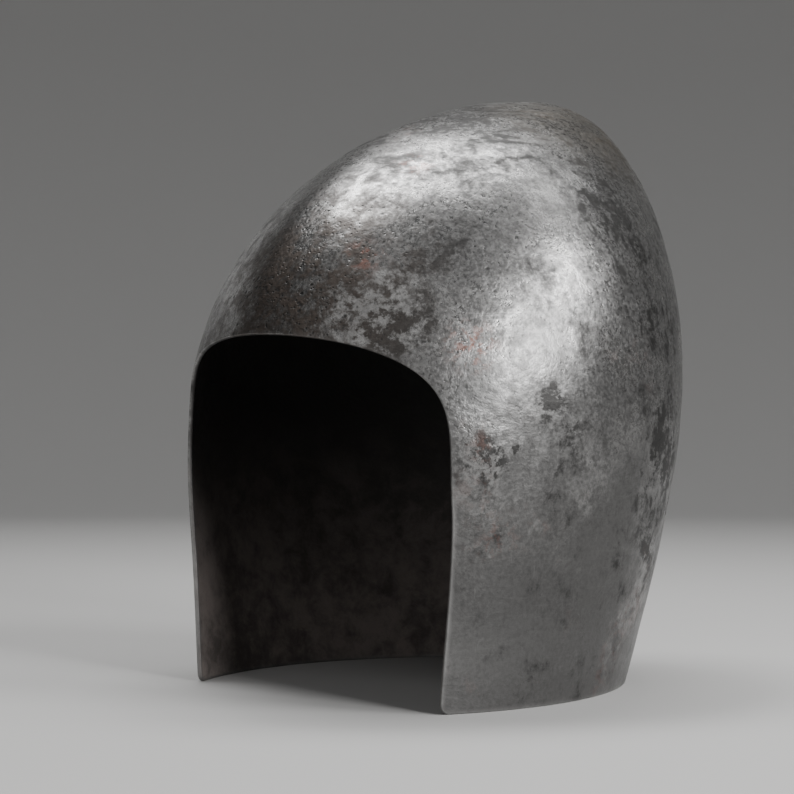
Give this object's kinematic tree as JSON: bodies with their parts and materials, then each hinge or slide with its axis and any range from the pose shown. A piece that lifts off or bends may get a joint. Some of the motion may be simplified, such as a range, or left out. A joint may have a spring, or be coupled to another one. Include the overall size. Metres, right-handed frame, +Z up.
{
  "type": "one-piece open-faced bascinet helmet",
  "caption": "Plain steel helmet raised from one sheet, with a tall rear-peaked skull, a soft ridge from brow to crown, an arched face opening and a flat rim.",
  "frame": {"origin": "on the plane of the flat rim, under the middle of the helmet's box", "axes": "+X to the wearer's left, -Y out of the face opening, +Z up to the crown"},
  "size_m": [0.205, 0.2198, 0.2549],
  "materials": {
    "worn_steel": "aged raised steel, satin with darker mottled patches, fine pitting, light scratches and faint rust"
  },
  "bodies": {
    "root": {"helmet_skull": "worn_steel"}
  },
  "joints": []
}
